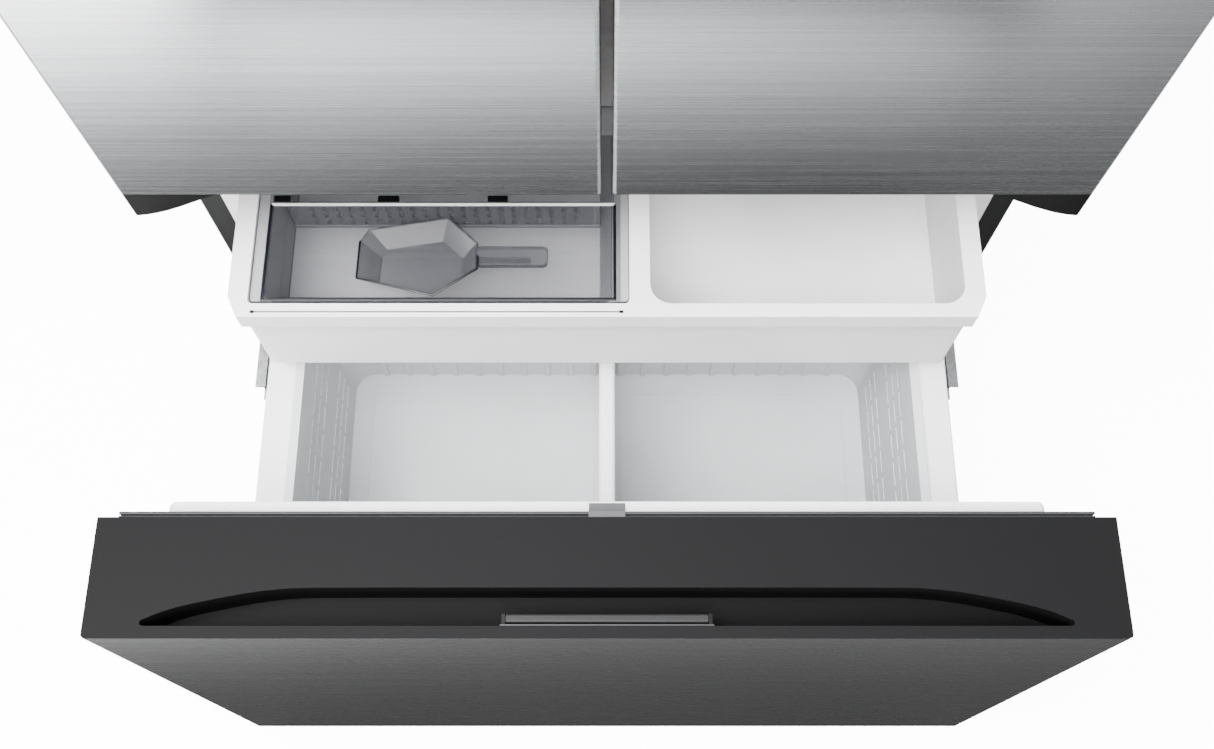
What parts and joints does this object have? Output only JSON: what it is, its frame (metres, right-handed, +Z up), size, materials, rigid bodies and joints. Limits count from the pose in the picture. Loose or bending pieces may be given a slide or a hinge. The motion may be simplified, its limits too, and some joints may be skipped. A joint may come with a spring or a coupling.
{
  "type": "french door refrigerator",
  "caption": "French door refrigerator with a bottom freezer drawer pulled out, its inner tray and basket, hinged doors, crispers, door bins and shelves.",
  "frame": {"origin": "on the floor, midway across the width, and midway between the open drawer's face and the back panel", "axes": "+Z up, the doors and the drawer face -Y, +X to the right of someone facing the doors"},
  "size_m": [0.908, 1.272, 1.778],
  "materials": {
    "steel_front": "brushed stainless, level grain",
    "cabinet_paint": "dark grey textured paint",
    "galvanised": "bare galvanised sheet",
    "foam": "rigid foam",
    "liner_white": "white moulded liner",
    "mullion_paint": "mid grey paint",
    "black_plastic": "black moulding",
    "dark_cap": "dark grey moulding",
    "hinge_steel": "plated steel",
    "bin_clear": "clear moulded plastic",
    "glass_clear": "tempered glass",
    "trim_grey": "light grey trim",
    "tray_white": "white moulding",
    "basket_white": "pale grey moulding",
    "ice_clear": "smoky clear plastic",
    "seal_grey": "grey magnetic gasket",
    "clip_grey": "mid grey clip",
    "lever_grey": "light grey lever",
    "rail_white": "white moulded rail cover over the moving slide",
    "slide_zinc": "zinc-plated slide",
    "coil_metal": "aluminium coil and fins",
    "copper_tube": "copper tube",
    "compressor_black": "black enamel",
    "fan_plastic": "black fan moulding",
    "foot_rubber": "dark foot",
    "roller_plastic": "hard roller"
  },
  "bodies": {
    "cabinet": {"cabinet_shell": "cabinet_paint", "back_panel": "galvanised", "machine_cover": "galvanised", "insulation": "foam", "fresh_food_liner": "liner_white", "freezer_liner": "liner_white", "mullion_cover": "mullion_paint", "base_frame": "galvanised", "toe_grille": "black_plastic", "door_hinges": "hinge_steel", "hinge_covers": "dark_cap", "shelf_frames": "trim_grey", "glass_shelves": "glass_clear", "shelf_ladders": "slide_zinc", "air_duct_cover": "liner_white", "evaporator_cover": "liner_white", "evaporator": "coil_metal", "ice_maker": "trim_grey", "slide_rails": "slide_zinc", "compressor": "compressor_black", "condenser_coil": "coil_metal", "drain_pan": "black_plastic", "fan_shroud": "galvanised", "refrigerant_tubes": "copper_tube"},
    "left_door": {"left_door_skin": "steel_front", "left_door_caps": "black_plastic", "left_door_core": "foam", "left_door_liner": "liner_white", "left_door_gasket": "seal_grey", "left_door_bins": "bin_clear"},
    "right_door": {"right_door_skin": "steel_front", "right_door_caps": "black_plastic", "right_door_core": "foam", "right_door_liner": "liner_white", "right_door_gasket": "seal_grey", "right_door_bins": "bin_clear"},
    "flip_mullion": {"flip_mullion": "dark_cap"},
    "crisper_left": {"crisper_left": "bin_clear"},
    "crisper_right": {"crisper_right": "bin_clear"},
    "freezer_drawer": {"drawer_skin": "steel_front", "drawer_top_cap": "dark_cap", "drawer_bottom_cap": "black_plastic", "drawer_core": "foam", "drawer_liner": "liner_white", "drawer_gasket": "seal_grey", "lower_basket": "basket_white", "basket_divider": "tray_white", "divider_clip": "clip_grey", "slides_inner": "rail_white", "lever_bracket": "lever_grey"},
    "slide_middles": {"slide_middle": "slide_zinc"},
    "release_lever": {"release_lever": "lever_grey"},
    "upper_tray": {"upper_tray": "tray_white", "ice_bin": "ice_clear", "ice_scoop": "ice_clear"},
    "evaporator_fan": {"evaporator_fan": "fan_plastic"},
    "condenser_fan": {"condenser_fan": "fan_plastic"},
    "rear_rollers": {"rear_rollers": "roller_plastic"},
    "levelling_foot_left": {"levelling_foot_left": "foot_rubber"},
    "levelling_foot_right": {"levelling_foot_right": "foot_rubber"}
  },
  "joints": [
    {"name": "left_door_hinge", "type": "hinge", "parent": "cabinet", "child": "left_door", "pos_m": [-0.432, -0.184, 1.24], "axis": [0, 0, -1], "range_deg": [0, 130]},
    {"name": "right_door_hinge", "type": "hinge", "parent": "cabinet", "child": "right_door", "pos_m": [0.432, -0.184, 1.24], "axis": [0, 0, 1], "range_deg": [0, 130]},
    {"name": "flip_mullion_hinge", "type": "hinge", "parent": "left_door", "child": "flip_mullion", "pos_m": [-0.0235, -0.1115, 1.21], "axis": [0, 0, -1], "range_deg": [0, 90]},
    {"name": "crisper_left_slide", "type": "slide", "parent": "cabinet", "child": "crisper_left", "axis": [0, -1, 0], "range_m": [0, 0.075]},
    {"name": "crisper_right_slide", "type": "slide", "parent": "cabinet", "child": "crisper_right", "axis": [0, -1, 0], "range_m": [0, 0.075]},
    {"name": "freezer_drawer_slide", "type": "slide", "parent": "cabinet", "child": "freezer_drawer", "axis": [0, -1, 0], "range_m": [-0.402, 0.03]},
    {"name": "slide_middle_slide", "type": "slide", "parent": "cabinet", "child": "slide_middles", "axis": [0, -1, 0], "range_m": [-0.201, 0.015]},
    {"name": "upper_tray_slide", "type": "slide", "parent": "cabinet", "child": "upper_tray", "axis": [0, -1, 0], "range_m": [-0.2031, 0.0152]},
    {"name": "release_lever_hinge", "type": "hinge", "parent": "freezer_drawer", "child": "release_lever", "pos_m": [0, -0.61755, 0.671], "axis": [1, 0, 0], "range_deg": [0, 12], "stiffness_Nm_per_rad": 0.6},
    {"name": "evaporator_fan_spin", "type": "hinge", "parent": "cabinet", "child": "evaporator_fan", "pos_m": [0, 0.536, 0.605], "axis": [0, 1, 0], "continuous": true},
    {"name": "condenser_fan_spin", "type": "hinge", "parent": "cabinet", "child": "condenser_fan", "pos_m": [-0.002, 0.4868, 0.154], "axis": [1, 0, 0], "continuous": true},
    {"name": "rear_roller_spin", "type": "hinge", "parent": "cabinet", "child": "rear_rollers", "pos_m": [0, 0.5648, 0.024], "axis": [1, 0, 0], "continuous": true},
    {"name": "levelling_foot_left_turn", "type": "hinge", "parent": "cabinet", "child": "levelling_foot_left", "pos_m": [-0.424, -0.0838, 0.02], "axis": [0, 0, 1], "continuous": true},
    {"name": "levelling_foot_right_turn", "type": "hinge", "parent": "cabinet", "child": "levelling_foot_right", "pos_m": [0.424, -0.0838, 0.02], "axis": [0, 0, 1], "continuous": true}
  ],
  "couplings": [
    {"joint": "slide_middle_slide", "follows": "freezer_drawer_slide", "ratio": 0.5},
    {"joint": "upper_tray_slide", "follows": "freezer_drawer_slide", "ratio": 0.50497}
  ]
}
